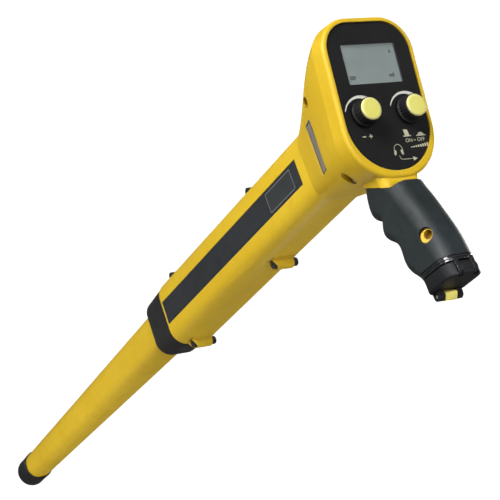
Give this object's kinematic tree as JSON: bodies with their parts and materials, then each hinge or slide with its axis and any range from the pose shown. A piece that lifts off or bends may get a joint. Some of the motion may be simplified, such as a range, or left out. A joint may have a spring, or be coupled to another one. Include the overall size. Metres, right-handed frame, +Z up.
{
  "type": "magnetic locator",
  "caption": "Hand-held magnetic locator: tapered yellow sensor wand, clamshell head with a tilted display panel and turning knobs, raked rubber grip with a hinged battery door.",
  "frame": {"origin": "centre of the end face of the wand's tip cap", "axes": "+Z up along the wand from the tip to the head, +Y away from the handle, +X to the right of the person holding it"},
  "size_m": [0.1014, 0.2762, 1.071],
  "materials": {
    "shell_yellow": "satin",
    "wand_yellow": "satin",
    "black_plastic": "satin",
    "collar_black": "satin",
    "panel_black": "satin",
    "strip_black": "matt",
    "patch_grey": "matt",
    "grip_rubber": "matt",
    "tip_rubber": "matt",
    "cap_yellow": "satin",
    "latch_yellow": "satin",
    "ring_gloss": "gloss",
    "plate_silver": "brushed",
    "window_clear": "gloss",
    "lcd_grey": "satin",
    "steel": "satin",
    "black_steel": "satin",
    "brass": "satin",
    "board_green": "satin",
    "chip_black": "matt",
    "coil_copper": "satin",
    "inner_white": "matt",
    "seal_rubber": "matt",
    "cell_wrap": "gloss",
    "lead_red": "satin"
  },
  "bodies": {
    "housing": {"housing_left": "shell_yellow", "housing_right": "shell_yellow", "wand_tube": "wand_yellow", "collar": "collar_black", "tip_cap": "tip_rubber", "side_strip_left": "strip_black", "side_strip_right": "strip_black", "strip_patch": "patch_grey", "side_plate": "plate_silver", "lug_screws": "black_steel", "lug_nuts": "black_steel", "case_screws": "steel", "handle_screw": "steel", "case_inserts": "brass", "handle_insert": "brass", "panel": "panel_black", "panel_gasket": "seal_rubber", "display_window": "window_clear", "display_glass": "lcd_grey", "display_board": "board_green", "gain_control": "steel", "gain_nut": "steel", "volume_control": "steel", "volume_nut": "steel", "volume_switch": "chip_black", "main_board": "board_green", "board_pillars": "brass", "board_screws": "steel", "board_chips": "chip_black", "speaker": "chip_black", "headphone_jack": "black_plastic", "jack_nut": "steel", "sensor_tube": "inner_white", "sensor_coils": "coil_copper", "tube_spacers": "inner_white", "tube_bracket": "inner_white", "sensor_lead": "seal_rubber", "grip_sleeve": "grip_rubber", "handle_ring": "ring_gloss", "hinge_pin": "steel", "door_seal": "seal_rubber", "battery_cells": "cell_wrap", "battery_contact": "brass", "battery_leads": "lead_red"},
    "gain_dial": {"gain_knob": "black_plastic", "gain_knob_cap": "cap_yellow", "gain_shaft": "steel"},
    "push_rod": {"volume_plunger": "inner_white"},
    "volume_dial": {"volume_knob": "black_plastic", "volume_knob_cap": "cap_yellow", "volume_shaft": "steel"},
    "door": {"battery_door": "black_plastic", "door_contact": "brass", "latch_pin": "steel"},
    "latch": {"latch": "latch_yellow"}
  },
  "joints": [
    {"name": "gain_turn", "type": "hinge", "parent": "housing", "child": "gain_dial", "pos_m": [-0.025, -0.00661, 1.05652], "axis": [0, -0.1831, 0.9831], "range_deg": [-150, 150]},
    {"name": "volume_push", "type": "slide", "parent": "housing", "child": "push_rod", "axis": [0, 0.1831, -0.9831], "range_m": [0, 0.0015]},
    {"name": "volume_turn", "type": "hinge", "parent": "push_rod", "child": "volume_dial", "pos_m": [0.025, -0.00661, 1.05652], "axis": [0, -0.1831, 0.9831], "range_deg": [-150, 150]},
    {"name": "door_swing", "type": "hinge", "parent": "housing", "child": "door", "pos_m": [0, -0.1715, 1.066], "axis": [-1, 0, 0], "range_deg": [0, 100]},
    {"name": "latch_turn", "type": "hinge", "parent": "door", "child": "latch", "pos_m": [0, -0.1816, 1.0325], "axis": [1, 0, 0], "range_deg": [0, 60]}
  ]
}
